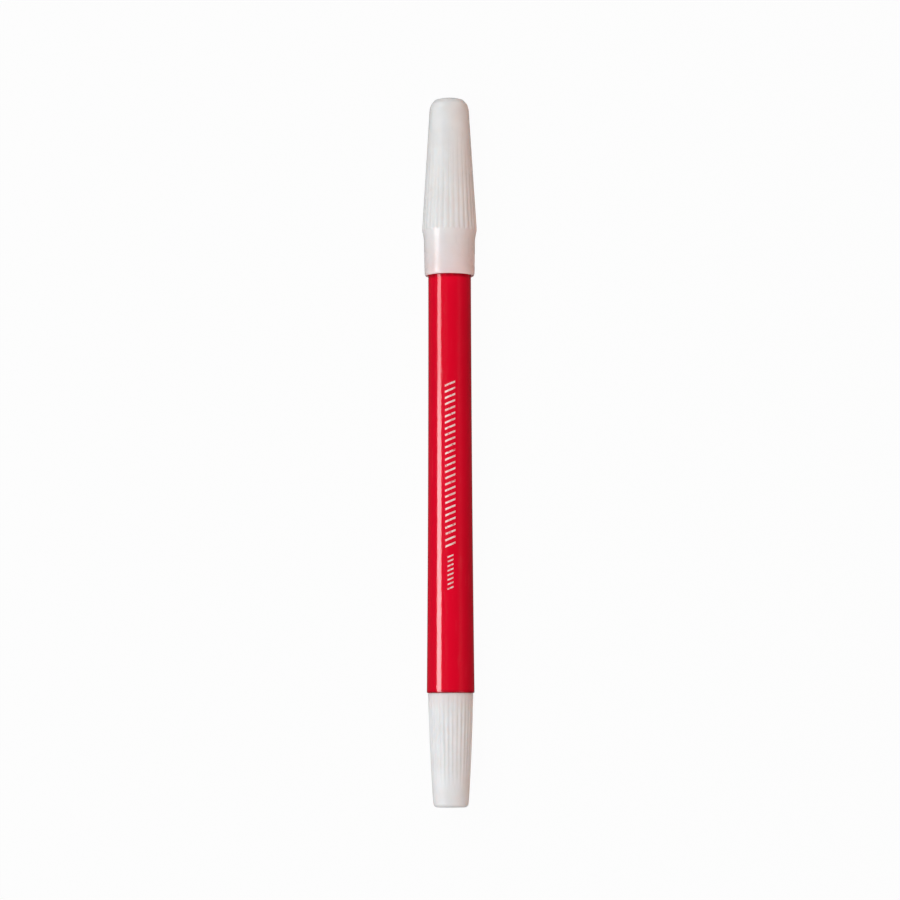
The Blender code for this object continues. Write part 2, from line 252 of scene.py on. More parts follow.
def makeEdgeRub():
    # crests that hands have polished and hollows that hold a little dust
    r = rubForm
    tree, ins, outs = newGroup("edgeRub", r["scales"], ("Crest", "Hollow"))
    bend = addNode(tree, "ShaderNodeNewGeometry").outputs["Pointiness"]
    patches = addNoise(tree, objectPlace(tree), ins.outputs["Break Scale"], r["breakDetail"])
    broken = addRange(tree, patches, *r["breakSpan"], *r["breakTone"])
    for label, span in (("Crest", r["crestSpan"]), ("Hollow", r["hollowSpan"])):
        tree.links.new(addMath(tree, "MULTIPLY", addRange(tree, bend, *span), broken), outs.inputs[label])
    return tree


fibreForm = {
    "scales": {"Strand Scale": 5200.0, "Knot Scale": 1600.0}, "strandStretch": (1.0, 0.08, 1.0),
    "strandDetail": 3.0, "knotDetail": 4.0, "coarseness": 0.6,
}


def makeFibreRun():
    # bonded fibre: strands that run along the pen, with a knotty cross texture
    f = fibreForm
    tree, ins, outs = newGroup("fibreRun", f["scales"], ("Strand", "Knot"))
    place = objectPlace(tree)
    along = stretchPlace(tree, place, f["strandStretch"])
    strand = addNoise(tree, along, ins.outputs["Strand Scale"], f["strandDetail"], f["coarseness"])
    knot = addNoise(tree, place, ins.outputs["Knot Scale"], f["knotDetail"], f["coarseness"])
    tree.links.new(strand, outs.inputs["Strand"])
    tree.links.new(knot, outs.inputs["Knot"])
    return tree


mouldSkin = makeMouldSkin()
edgeRub = makeEdgeRub()
fibreRun = makeFibreRun()


def newMaterial(name):
    material = bpy.data.materials.new(name)
    material.use_nodes = True
    tree = material.node_tree
    return material, tree, tree.nodes["Principled BSDF"]


def addGroup(tree, group, **values):
    node = addNode(tree, "ShaderNodeGroup", node_tree=group)
    for label, value in values.items():
        node.inputs[label].default_value = value
    return node.outputs


def addBump(tree, shader, height, strength, distance):
    bump = addNode(tree, "ShaderNodeBump")
    bump.inputs["Strength"].default_value = strength
    bump.inputs["Distance"].default_value = distance
    tree.links.new(height, bump.inputs["Height"])
    tree.links.new(bump.outputs["Normal"], shader.inputs["Normal"])


def heightAlong(tree, low, high):
    # 0 to 1 between two heights along the pen
    split = addNode(tree, "ShaderNodeSeparateXYZ")
    tree.links.new(objectPlace(tree), split.inputs["Vector"])
    return addRange(tree, split.outputs["Y"], tailEnd + low, tailEnd + high)


plastic = {"ior": 1.49, "cloudSpan": (0.3, 0.7), "bumpDepth": 0.00002}


def makeRedPlastic(name, look):
    material, tree, shader = newMaterial(name)
    skin = addGroup(tree, mouldSkin, **{"Cloud Scale": look["cloudScale"]})
    rub = addGroup(tree, edgeRub)
    tone = addMix(tree, addRange(tree, skin["Cloud"], *plastic["cloudSpan"]), look["colour"], look["deepColour"])
    tone = addMix(tree, addMath(tree, "MULTIPLY", skin["Scuff"], look["scuffTone"]), tone, look["scuffColour"])
    tone = addMix(tree, addMath(tree, "MULTIPLY", rub["Crest"], look["rubTone"]), tone, look["scuffColour"])
    # painted shade: dark bands at given heights along the pen, broken up by noise
    for line in look.get("paintedShadeLines", []):
        band = addMath(tree, "MULTIPLY", heightAlong(tree, *line["rise"]), heightAlong(tree, *line["fall"]))
        patches = addNoise(tree, objectPlace(tree), look["breakScale"], look["breakDetail"])
        broken = addRange(tree, patches, *look["breakSpan"], *line["tone"])
        tone = addMix(tree, addMath(tree, "MULTIPLY", band, broken), tone, look["paintedShadeColour"])
    tree.links.new(tone, shader.inputs["Base Color"])
    rough = addRange(tree, skin["Cloud"], *plastic["cloudSpan"], *look["roughness"])
    rough = addMath(tree, "ADD", rough, addMath(tree, "MULTIPLY", skin["Scuff"], look["scuffRough"]))
    tree.links.new(rough, shader.inputs["Roughness"])
    shader.inputs["Specular IOR Level"].default_value = look["specular"]
    shader.inputs["IOR"].default_value = plastic["ior"]
    grain = addMath(tree, "MULTIPLY", skin["Grain"], look["grain"])
    addBump(tree, shader, addMath(tree, "SUBTRACT", grain, skin["Scuff"]), look["bump"], plastic["bumpDepth"])
    return material


def makeWhitePlastic(name, look):
    material, tree, shader = newMaterial(name)
    skin = addGroup(tree, mouldSkin, **{"Cloud Scale": look["cloudScale"], "Grain Scale": look["grainScale"]})
    rub = addGroup(tree, edgeRub)
    tone = addMix(tree, addRange(tree, skin["Cloud"], *plastic["cloudSpan"]), look["colour"], look["shadeColour"])
    # painted light: a pink tint over a span of heights that stands in for red light from the red parts reaching the
    # white plastic
    paintedRedGlow = addMath(tree, "MULTIPLY", heightAlong(tree, *look["paintedRedGlowSpan"]), look["paintedRedGlow"])
    tone = addMix(tree, paintedRedGlow, tone, look["paintedRedGlowColour"])
    dust = addMath(tree, "MULTIPLY", rub["Hollow"], look["dust"])
    tone = addMix(tree, dust, tone, look["dustColour"])
    tone = addMix(tree, addMath(tree, "MULTIPLY", skin["Scuff"], look["scuffTone"]), tone, look["dustColour"])
    tree.links.new(tone, shader.inputs["Base Color"])
    rough = addRange(tree, skin["Cloud"], *plastic["cloudSpan"], *look["roughness"])
    rough = addMath(tree, "SUBTRACT", rough, addMath(tree, "MULTIPLY", rub["Crest"], look["polish"]))
    tree.links.new(rough, shader.inputs["Roughness"])
    shader.inputs["Specular IOR Level"].default_value = look["specular"]
    shader.inputs["IOR"].default_value = plastic["ior"]
    shader.inputs["Subsurface Weight"].default_value = look["glow"]
    shader.inputs["Subsurface Scale"].default_value = look["glowDepth"]
    shader.inputs["Subsurface Radius"].default_value = look["glowRadius"]
    height = addMath(tree, "SUBTRACT", skin["Grain"], skin["Scuff"])
    addBump(tree, shader, height, look["bump"], plastic["bumpDepth"])
    return material


fibre = {
    "wetSpan": (0.35, 0.65), "drySpan": (0.55, 0.75), "roughSpan": (0.3, 0.7), "specular": 0.3,
    "bump": 0.5, "bumpDepth": 0.00004,
}


def makeFibre(name, look):
    material, tree, shader = newMaterial(name)
    run = addGroup(tree, fibreRun)
    tone = addMix(tree, addRange(tree, run["Strand"], *fibre["wetSpan"]), look["colour"], look["wetColour"])
    tone = addMix(tree, addRange(tree, run["Knot"], *fibre["drySpan"]), tone, look["dryColour"])
    tree.links.new(tone, shader.inputs["Base Color"])
    tree.links.new(addRange(tree, run["Knot"], *fibre["roughSpan"], *look["roughness"]), shader.inputs["Roughness"])
    shader.inputs["Sheen Weight"].default_value = look["sheen"]
    shader.inputs["Specular IOR Level"].default_value = fibre["specular"]
    addBump(tree, shader, addMath(tree, "ADD", run["Strand"], run["Knot"]), fibre["bump"], fibre["bumpDepth"])
    return material


# barrel: glossy red tube, flared towards the tail

barrelLook = {
    "colour": (0.73, 0.0015, 0.022), "deepColour": (0.69, 0.0012, 0.019), "scuffColour": (0.75, 0.05, 0.07),
    "cloudScale": 60.0, "roughness": (0.085, 0.110), "specular": 0.20,
    "scuffTone": 0.10, "scuffRough": 0.12, "rubTone": 0.15, "grain": 0.4, "bump": 0.06,
    # painted shade: dark lines under the cap's rim and at the barrel's rear edge by the tail, broken up by noise
    "paintedShadeColour": (0.20, 0.001, 0.006), "breakScale": 700.0, "breakDetail": 3.0, "breakSpan": (0.35, 0.60),
    "paintedShadeLines": [
        {"rise": (0.1075, 0.1082), "fall": (0.1089, 0.1085), "tone": (0.35, 0.70)},
        {"rise": (0.0220, 0.0226), "fall": (0.0238, 0.0232), "tone": (0.35, 0.60)},
    ],
}
barrelForm = {
    "steps": 144, "front": 0.1159, "rear": 0.0231, "frontRadius": 0.004375, "rearRadius": 0.00485,
    "rings": 40, "edge": 0.00025, "edgeSegments": 5, "boreRadius": 0.003575, "socketRadius": 0.00405,
    "socketEnd": 0.0306,
}


def barrelRadius(height):
    share = (barrelForm["front"] - height) / (barrelForm["front"] - barrelForm["rear"])
    return barrelForm["frontRadius"] + (barrelForm["rearRadius"] - barrelForm["frontRadius"]) * share ** 2


def makeBarrel():
    f = barrelForm
    heights = [f["front"] + (f["rear"] - f["front"]) * i / f["rings"] for i in range(f["rings"] + 1)]
    outline = [(barrelRadius(h), h) for h in heights]
    boreEnd = f["socketEnd"] + f["socketRadius"] - f["boreRadius"]
    outline += [(f["socketRadius"], f["rear"]), (f["socketRadius"], f["socketEnd"]),
                (f["boreRadius"], boreEnd), (f["boreRadius"], f["front"])]
    bm = spinOutline(outline, f["steps"], closed=True)
    roundRings(bm, [(f["rearRadius"], f["rear"], f["edge"]), (f["frontRadius"], f["front"], f["edge"])],
               segments=f["edgeSegments"])
    piece = finishPiece(bm, "barrelTube", makeRedPlastic("barrelRed", barrelLook))
    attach(piece, "pen")
    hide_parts("barrel")
    return piece


# foil band: plain slanted dashes, stamped along the top of the barrel

foilForm = {
    "runs": [
        {"from": 0.0858, "to": 0.0530, "pitch": 0.00126, "length": 0.0021, "width": 0.00040},
        {"from": 0.0507, "to": 0.0442, "pitch": 0.00092, "length": 0.0012, "width": 0.00032},
    ],
    "slant": 0.42, "lift": 0.000012, "depth": 0.00003, "lengthCuts": 8, "widthCuts": 2, "turnDeg": 0.4,
}
foilLook = {
    "colour": (0.90, 0.80, 0.77), "warmColour": (0.84, 0.60, 0.55), "wornColour": (0.62, 0.06, 0.07),
    "scales": {"Cloud Scale": 900.0, "Grain Scale": 7000.0}, "warmSpan": (0.35, 0.65),
    "worn": 0.85, "wornScale": 1600.0, "wornDetail": 3.0, "wornSpan": (0.52, 0.66),
    "roughSpan": (0.3, 0.7), "roughness": (0.28, 0.48), "metallic": 0.30, "bump": 0.35, "bumpDepth": 0.00004,
}


def makeFoilMaterial():
    look = foilLook
    material, tree, shader = newMaterial("barrelFoil")
    skin = addGroup(tree, mouldSkin, **look["scales"])
    tone = addMix(tree, addRange(tree, skin["Cloud"], *look["warmSpan"]), look["colour"], look["warmColour"])
    patches = addNoise(tree, objectPlace(tree), look["wornScale"], look["wornDetail"])
    rubbed = addMath(tree, "MULTIPLY", addRange(tree, patches, *look["wornSpan"]), look["worn"])
    tree.links.new(addMix(tree, rubbed, tone, look["wornColour"]), shader.inputs["Base Color"])
    tree.links.new(addRange(tree, skin["Grain"], *look["roughSpan"], *look["roughness"]), shader.inputs["Roughness"])
    shader.inputs["Metallic"].default_value = look["metallic"]
    addBump(tree, shader, addMath(tree, "ADD", skin["Cloud"], skin["Grain"]), look["bump"], look["bumpDepth"])
    return material


def makeFoil():
    f = foilForm
    bm = bmesh.new()
    for run in f["runs"]:
        count = int((run["from"] - run["to"]) / run["pitch"]) + 1
        for i in range(count):
            height = run["from"] - i * run["pitch"]
            # a square of side 1 at first
            flat = bmesh.ops.create_grid(bm, x_segments=f["lengthCuts"], y_segments=f["widthCuts"], size=0.5)["verts"]
            bmesh.ops.scale(bm, vec=(run["length"], run["width"], 1.0), verts=flat)
            for v in flat:
                # slanted, then wrapped round the barrel
                v.co.y += tailEnd + height + v.co.x * f["slant"]
                radius = barrelRadius(v.co.y - tailEnd) + f["lift"]
                angle = v.co.x / radius
                v.co.x = radius * math.sin(angle)
                v.co.z = axisHeight + radius * math.cos(angle)
    bmesh.ops.recalc_face_normals(bm, faces=bm.faces)
    if sum(face.normal.z for face in bm.faces) < 0:
        bmesh.ops.reverse_faces(bm, faces=bm.faces)
    bmesh.ops.solidify(bm, geom=bm.faces[:], thickness=f["depth"])
    piece = finishPiece(bm, "foilDashes", makeFoilMaterial(), turnDeg=f["turnDeg"])
    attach(piece, "pen")
    return piece


# tail plug: white bowed taper with shallow flutes, and the ringed spigot inside the barrel

tailLook = {
    "colour": (0.815, 0.81, 0.81), "shadeColour": (0.785, 0.775, 0.77), "dustColour": (0.50, 0.46, 0.42),
    "cloudScale": 260.0, "grainScale": 9000.0, "roughness": (0.46, 0.54), "specular": 0.11,
    "polish": 0.06, "dust": 0.25, "scuffTone": 0.10, "bump": 0.10,
    "glow": 0.6, "glowDepth": 0.0012, "glowRadius": (1.0, 0.8, 0.7),
    # painted light: pink on the shoulder that stands in for red light off the barrel's end
    "paintedRedGlow": 0.15, "paintedRedGlowColour": (0.80, 0.42, 0.40), "paintedRedGlowSpan": (0.0195, 0.0228),
}
tailForm = {
    "steps": 360, "shoulder": 0.02306, "shoulderRadius": 0.004575, "endRadius": 0.0036, "endRound": 0.0009,
    "swell": 0.00013, "rings": 44, "shoulderRound": 0.00012, "gateRadius": 0.0006, "gateDepth": 0.00012,
    "endWall": 0.0014, "hollowRadius": 0.00232, "spigotRadius": 0.00395, "ringRise": 0.00015, "spigotWall": 0.0010,
    "spigotEnd": 0.0304, "spigotRings": 3, "ringShares": (0.5, 0.75, 0.76), "endArc": 8,
    "flutes": 30, "fluteDepth": 0.000025, "fluteShare": 1.4, "fluteFade": 0.0038, "skinShare": 0.72,
    "ribTurnDeg": 2.3,
}


def tailRadius(height):
    f = tailForm
    share = (height - f["endRound"]) / (f["shoulder"] - f["endRound"])
    straight = f["endRadius"] + (f["shoulderRadius"] - f["endRadius"]) * share
    return straight + 4 * f["swell"] * share * (1 - share)


# shares of the gate's depth and radius
gateForm = {"stubRise": 0.45, "stubTop": 0.30, "stubFoot": 0.42, "dishFoot": 0.86}


def gateMark(radius, depth, height, into):
    # the mould's gate: a shallow dish with a stub in it, from the axis outwards; into is +1 or -1
    stub = height + into * depth * gateForm["stubRise"]
    floor = height + into * depth
    return [(0.0, stub), (radius * gateForm["stubTop"], stub), (radius * gateForm["stubFoot"], floor),
            (radius * gateForm["dishFoot"], floor), (radius, height)]


def makeTail():
    f = tailForm
    root = f["spigotRadius"] - f["ringRise"]
    outline = [(0.0, f["endWall"]), (f["hollowRadius"], f["endWall"]), (root - f["spigotWall"], f["spigotEnd"])]
    pitch = (f["spigotEnd"] - f["shoulder"]) / f["spigotRings"]
    for i in range(f["spigotRings"]):
        # a ring: ramp, crest and step down
        top = f["spigotEnd"] - pitch * i
        ramp, crest, foot = (top - pitch * share for share in f["ringShares"])
        outline += [(root, top), (f["spigotRadius"], ramp), (f["spigotRadius"], crest), (root, foot)]
    outline.append((root, f["shoulder"]))
    for i in range(f["rings"]):
        height = f["shoulder"] + (f["endRound"] - f["shoulder"]) * i / f["rings"]
        outline.append((tailRadius(height), height))
    corner = (f["endRadius"] - f["endRound"], f["endRound"])
    outline += arcPoints(corner, (f["endRound"], f["endRound"]), 0, -90, f["endArc"])
    outline += gateMark(f["gateRadius"], f["gateDepth"], 0.0, 1)[::-1]
    bm = spinOutline(outline, f["steps"])
    roundRings(bm, [(f["shoulderRadius"], f["shoulder"], f["shoulderRound"])])

    deep, fade = f["shoulderRadius"] - f["fluteDepth"], tailRadius(f["fluteFade"])

    def fluted(radius, height, offset):
        inside = radius < f["shoulderRadius"] * f["skinShare"]
        if inside or height > f["shoulder"] + slack["form"] or height < f["fluteFade"]:
            return None
        floor = fade + (deep - fade) * (height - f["fluteFade"]) / (f["shoulder"] - f["fluteFade"])
        return fluteRadius(f, floor, radius, offset)

    pressGrooves(bm, f["flutes"], fluted)
    piece = finishPiece(bm, "tailPlug", makeWhitePlastic("tailWhite", tailLook), turnDeg=f["ribTurnDeg"])
    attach(piece, "pen")
    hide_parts("tail_plug")
    return piece


# cap: white fluted cone over a plain skirt, hollow, with a bead that seals on the nib holder

capLook = {
    "colour": (0.80, 0.795, 0.785), "shadeColour": (0.765, 0.755, 0.74), "dustColour": (0.50, 0.46, 0.42),
    "cloudScale": 220.0, "grainScale": 9000.0, "roughness": (0.22, 0.28), "specular": 0.15,
    "polish": 0.06, "dust": 0.25, "scuffTone": 0.10, "bump": 0.10,
    "glow": 0.6, "glowDepth": 0.0012, "glowRadius": (1.0, 0.8, 0.7),
    # painted light: pink on the skirt that stands in for red light from the barrel and holder shining through the
    # plastic
    "paintedRedGlow": 0.23, "paintedRedGlowColour": (0.80, 0.42, 0.40), "paintedRedGlowSpan": (0.1195, 0.1084),
}
capForm = {
    "steps": 360, "crown": 0.14499, "flatRadius": 0.0022, "gateRadius": 0.0006, "gateDepth": 0.00012,
    "brow": 0.1448, "browRadius": 0.0029, "browRound": 0.00014, "shoulder": 0.1439, "shoulderRadius": 0.0037,
    "shoulderRound": 0.00012, "crease": 0.1429, "creaseRadius": 0.004018, "creaseRound": 0.00015, "coneRings": 52,
    "bulge": 0.1179, "bulgeRadius": 0.005604, "bulgeRound": 0.00018, "stepFoot": 0.1157, "stepRings": 12,
    "skirtTopRadius": 0.005240, "stepBend": 1.35, "skirtRings": 8,
    "rim": 0.1084, "rimRadius": 0.005128, "rimRoundHeight": 0.0010, "rimRoundDepth": 0.00025, "rimArc": 8,
    "mouthRadius": 0.004528, "mouthChamfer": 0.00015, "stop": 0.1173, "beadRadius": 0.003975, "beadTop": 0.1193,
    "hollowFoot": 0.1199, "hollowFootRadius": 0.004354, "hollowTop": 0.1438, "hollowTopRadius": 0.00308,
    "hollowRound": 0.0004, "hollowArc": 5, "flutes": 30, "fluteDepth": 0.00012, "fluteShare": 1.15,
    "fluteFade": 0.1395, "skinShare": 0.92, "ribTurnDeg": 5.3,
}


def coneRadius(height):
    f = capForm
    share = (height - f["bulge"]) / (f["crease"] - f["bulge"])
    return f["bulgeRadius"] + (f["creaseRadius"] - f["bulgeRadius"]) * share


def makeCap():
    f = capForm
    outline = gateMark(f["gateRadius"], f["gateDepth"], f["crown"], -1)
    brow, shoulder = (f["browRadius"], f["brow"]), (f["shoulderRadius"], f["shoulder"])
    crease, bulge = (f["creaseRadius"], f["crease"]), (f["bulgeRadius"], f["bulge"])
    foot = (f["skirtTopRadius"], f["stepFoot"])
    outline += [(f["flatRadius"], f["crown"]), brow, shoulder, crease]
    outline += linePoints(crease, bulge, f["coneRings"]) + [bulge]
    for i in range(1, f["stepRings"] + 1):
        # slightly hollow slope under the ribs
        down = i / f["stepRings"]
        outline.append((foot[0] + (bulge[0] - foot[0]) * (1 - down) ** f["stepBend"],
                        bulge[1] + (foot[1] - bulge[1]) * down))
    rimTop = (f["rimRadius"], f["rim"] + f["rimRoundHeight"])
    outline += linePoints(foot, rimTop, f["skirtRings"])
    outline += arcPoints((f["rimRadius"] - f["rimRoundDepth"], rimTop[1]), (f["rimRoundDepth"], f["rimRoundHeight"]),
                         0, -90, f["rimArc"])
    outline += [(f["mouthRadius"] + f["mouthChamfer"], f["rim"]), (f["mouthRadius"], f["rim"] + f["mouthChamfer"]),
                (f["mouthRadius"], f["stop"]), (f["beadRadius"], f["stop"]), (f["beadRadius"], f["beadTop"]),
                (f["hollowFootRadius"], f["hollowFoot"])]
    corner = (f["hollowTopRadius"] - f["hollowRound"], f["hollowTop"] - f["hollowRound"])
    outline += arcPoints(corner, (f["hollowRound"], f["hollowRound"]), 0, 90, f["hollowArc"])
    outline.append((0.0, f["hollowTop"]))
    bm = spinOutline(outline, f["steps"])
    roundRings(bm, [(*brow, f["browRound"]), (*shoulder, f["shoulderRound"]), (*crease, f["creaseRound"]),
                    (*bulge, f["bulgeRound"])])

    deep, fade = f["bulgeRadius"] - f["fluteDepth"], coneRadius(f["fluteFade"])

    def fluted(radius, height, offset):
        inside = radius < coneRadius(height) * f["skinShare"]
        if inside or height < f["stepFoot"] or height > f["fluteFade"]:
            return None
        floor = deep + (fade - deep) * (height - f["bulge"]) / (f["fluteFade"] - f["bulge"])
        return fluteRadius(f, floor, radius, offset)

    pressGrooves(bm, f["flutes"], fluted)
    piece = finishPiece(bm, "capShell", makeWhitePlastic("capWhite", capLook), turnDeg=f["ribTurnDeg"])
    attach(piece, "cap")
    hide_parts("cap")
    return piece


# nib holder: red front section with a flange, the land that the cap seals on and a cone

holderLook = {
    "colour": (0.78, 0.002, 0.018), "deepColour": (0.70, 0.0015, 0.014), "scuffColour": (0.76, 0.06, 0.07),
    "cloudScale": 150.0, "roughness": (0.24, 0.32), "specular": 0.30,
    "scuffTone": 0.12, "scuffRough": 0.12, "rubTone": 0.2, "grain": 0.4, "bump": 0.15,
}
holderForm = {
    "steps": 160, "noseEnd": 0.1345, "noseRadius": 0.0018, "noseChamfer": 0.0004, "noseFoot": 0.1325,
    "landEnd": 0.1203, "landRadius": 0.003825, "flangeFront": 0.1171, "flangeRear": 0.1161, "flangeRadius": 0.004275,
    "shankRadius": 0.003475, "shankEnd": 0.1081, "shankChamfer": 0.0003, "hollowRadius": 0.002475,
    "funnelEnd": 0.1201, "boreRadius": 0.0011, "edge": 0.00012, "blend": 0.0004, "noseRings": 16,
    "airGrooves": 4, "airRadius": 0.00025, "airStart": 0.1205,
}


def makeHolder():
    f = holderForm
    nose, land = (f["noseRadius"], f["noseFoot"]), (f["landRadius"], f["landEnd"])
    tip = (f["noseRadius"] - f["noseChamfer"], f["noseEnd"])
    outline = [(f["boreRadius"], f["noseEnd"]), tip, (f["noseRadius"], f["noseEnd"] - f["noseChamfer"]), nose]
    outline += linePoints(nose, land, f["noseRings"]) + [land]
    outline += [(f["landRadius"], f["flangeFront"]), (f["flangeRadius"], f["flangeFront"]),
                (f["flangeRadius"], f["flangeRear"]), (f["shankRadius"], f["flangeRear"]),
                (f["shankRadius"], f["shankEnd"] + f["shankChamfer"]),
                (f["shankRadius"] - f["shankChamfer"], f["shankEnd"]), (f["hollowRadius"], f["shankEnd"]),
                (f["hollowRadius"], f["flangeRear"]), (f["boreRadius"], f["funnelEnd"])]
    bm = spinOutline(outline, f["steps"], closed=True)
    roundRings(bm, [(*tip, f["edge"]), (f["noseRadius"], f["noseEnd"] - f["noseChamfer"], f["edge"]),
                    (*nose, f["blend"]), (*land, f["blend"]), (f["flangeRadius"], f["flangeFront"], f["edge"]),
                    (f["flangeRadius"], f["flangeRear"], f["edge"])])

    def vented(radius, height, offset):
        # four air grooves along the nib's bore
        side = f["boreRadius"] * math.sin(offset)
        if height < f["airStart"] or abs(radius - f["boreRadius"]) > slack["form"] or side >= f["airRadius"]:
            return None
        return f["boreRadius"] * math.cos(offset) + math.sqrt(f["airRadius"] ** 2 - side ** 2)

    pressGrooves(bm, f["airGrooves"], vented)
    piece = finishPiece(bm, "nibHolder", makeRedPlastic("holderRed", holderLook))
    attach(piece, "pen")
    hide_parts("nib_holder")
    return piece


# nib: bonded fibre rod with a bullet point, soaked with ink

nibLook = {
    "colour": (0.36, 0.006, 0.014), "wetColour": (0.20, 0.003, 0.008), "dryColour": (0.50, 0.06, 0.06),
    "roughness": (0.70, 0.85), "sheen": 0.15,
}
nibForm = {
    "steps": 72, "point": 0.1373, "radius": 0.0010, "coneLength": 0.0018, "pointRadius": 0.0004, "rear": 0.0999,
    "rearChamfer": 0.0002, "coneRings": 10, "shoulder": 0.0003, "shoulderSegments": 5, "pointArc": 8,
}


def makeNib():
    f = nibForm
    slope = math.degrees(math.atan2(f["radius"], f["coneLength"]))
    outline = arcPoints((0.0, f["point"] - f["pointRadius"]), (f["pointRadius"],) * 2, 90, slope, f["pointArc"])
    outline[0] = (0.0, f["point"])
    foot = (f["radius"], f["point"] - f["coneLength"])
    outline += linePoints(outline[-1], foot, f["coneRings"]) + [foot]
    outline += [(f["radius"], f["rear"] + f["rearChamfer"]), (f["radius"] - f["rearChamfer"], f["rear"]),
                (0.0, f["rear"])]
    bm = spinOutline(outline, f["steps"])
    roundRings(bm, [(*foot, f["shoulder"])], segments=f["shoulderSegments"])
    piece = finishPiece(bm, "fibreNib", makeFibre("nibFibre", nibLook))
    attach(piece, "pen")
    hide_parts("nib")
    return piece


# the ink core and its film keep their CAD shapes, out of sight in the barrel

coreLook = {
    "colour": (0.45, 0.010, 0.020), "wetColour": (0.26, 0.004, 0.010), "dryColour": (0.62, 0.12, 0.12),
    "roughness": (0.80, 0.95), "sheen": 0.2,
}
filmLook = {
    "colour": (0.86, 0.80, 0.80), "cloudScale": 300.0, "span": (0.3, 0.7), "alpha": (0.30, 0.45),
    "roughness": (0.10, 0.22),
}


def dressInside():
    core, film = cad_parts["ink_reservoir"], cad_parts["reservoir_film"]
    core.data.materials.clear()
    core.data.materials.append(makeFibre("coreFibre", coreLook))
    material, tree, shader = newMaterial("filmClear")
    skin = addGroup(tree, mouldSkin, **{"Cloud Scale": filmLook["cloudScale"]})
    shader.inputs["Base Color"].default_value = (*filmLook["colour"], 1.0)
    alpha = addRange(tree, skin["Cloud"], *filmLook["span"], *filmLook["alpha"])
    rough = addRange(tree, skin["Grain"], *filmLook["span"], *filmLook["roughness"])
    tree.links.new(alpha, shader.inputs["Alpha"])
    tree.links.new(rough, shader.inputs["Roughness"])
    film.data.materials.clear()
    film.data.materials.append(material)
    print("inside: core and film dressed")


barrel = makeBarrel()
foil = makeFoil()
tail = makeTail()
cap = makeCap()
holder = makeHolder()
nib = makeNib()
dressInside()


# studio: pale floor and a broad softbox up on the left; strips that show only in gloss draw the bright lines, and
# weak lamps linked to some of the pieces stand in for light that comes through the plastic or off the barrel

studio = {
    "floorSize": 3.0, "floorColour": (0.42, 0.417, 0.414), "seenWhite": 0.970, "glossWhite": 0.10,
    "worldColour": (0.10, 0.10, 0.10), "skyWhite": (0.98, 0.98, 0.98),
}
aimHeight, fillSize, plainWhite = 0.0056, (0.5, 0.42), (1.0, 1.0, 1.0)
lamps = [
    {"name": "broadSoftbox", "place": (-0.62, 0.10, 1.03), "aim": (0.0, 0.0, aimHeight), "size": (2.0, 0.8),
     "radiance": 3.60, "colour": (0.975, 0.985, 1.0)},
    {"name": "glossStrip", "place": (-0.856, -0.09, 0.528), "aim": (0.0, -0.09, aimHeight), "size": (0.41, 0.42),
     "radiance": 27.0, "colour": plainWhite, "onlyGloss": True},
    {"name": "glossStripEnd", "place": (-0.856, 0.17, 0.528), "aim": (0.0, 0.17, aimHeight), "size": (0.11, 0.36),
     "radiance": 17.0, "colour": plainWhite, "onlyGloss": True},
    {"name": "barrelFill", "place": (0.95, 0.0, 0.74), "aim": (0.0, 0.0, aimHeight), "size": fillSize,
     "radiance": 6.9, "colour": (1.0, 0.80, 0.70), "lights": [barrel, foil, holder, nib]},
    {"name": "tailFill", "place": (1.18, 0.0, 0.214), "aim": (0.0, 0.0, aimHeight), "size": fillSize,
     "radiance": 10.0, "colour": (1.0, 0.76, 0.66), "lights": [tail]},
    {"name": "capFill", "place": (1.18, 0.05, 0.214), "aim": (0.0, 0.05, aimHeight), "size": fillSize,
     "radiance": 9.8, "colour": (1.0, 0.66, 0.54), "lights": [cap]},
    {"name": "tailEndFill", "place": (-0.25, -1.0, 0.12), "aim": (0.0, -0.0725, aimHeight), "size": fillSize,
     "radiance": 2.2, "colour": (1.0, 0.98, 0.96), "lights": [tail]},
    {"name": "crownFill", "place": (-0.20, 1.0, 0.12), "aim": (0.0, 0.0725, aimHeight), "size": fillSize,
     "radiance": 1.5, "colour": (1.0, 0.93, 0.88), "lights": [cap]},
    {"name": "rimGlow", "place": (0.0, 0.006, 0.0185), "aim": (0.0, 0.0359, 0.0108), "size": (0.030, 0.010),
     "radiance": 4.0, "colour": (1.0, 0.40, 0.42), "lights": [cap]},
]
# strips beyond both ends of the pen, which the photo's camera doesn't meet and slanted views do
endStrips = {
    "Left": {"side": -0.856, "along": 1.10, "height": 0.528, "size": (1.3, 0.42), "radiance": 8.0},
    "Right": {"side": 0.856, "along": 1.15, "height": 0.528, "size": (1.5, 0.26), "radiance": 7.0},
}
for sideName, strip in endStrips.items():
    for endName, along in (("Tail", -strip["along"]), ("Cap", strip["along"])):
        lamps.append({
            "name": "glossEnd" + sideName + endName, "place": (strip["side"], along, strip["height"]),
            "aim": (0.0, along, aimHeight), "size": strip["size"], "radiance": strip["radiance"],
            "colour": plainWhite, "onlyGloss": True,
        })


def addSeenWhite(tree, white, mix, share):
    # plain white for rays straight from the camera and through film, a dim white for gloss,
    # light and shade for the rest
    seen = addNode(tree, "ShaderNodeLightPath").outputs
    direct = addMath(tree, "MAXIMUM", seen["Is Camera Ray"], seen["Is Transmission Ray"])
    dim = addMath(tree, "MULTIPLY", seen["Is Glossy Ray"], studio["glossWhite"])
    tree.links.new(addMath(tree, "MAXIMUM", direct, dim), white.inputs["Strength"])
    covered = addMath(tree, "MULTIPLY", direct, share)
    tree.links.new(addMath(tree, "MAXIMUM", covered, seen["Is Glossy Ray"]), mix.inputs["Fac"])


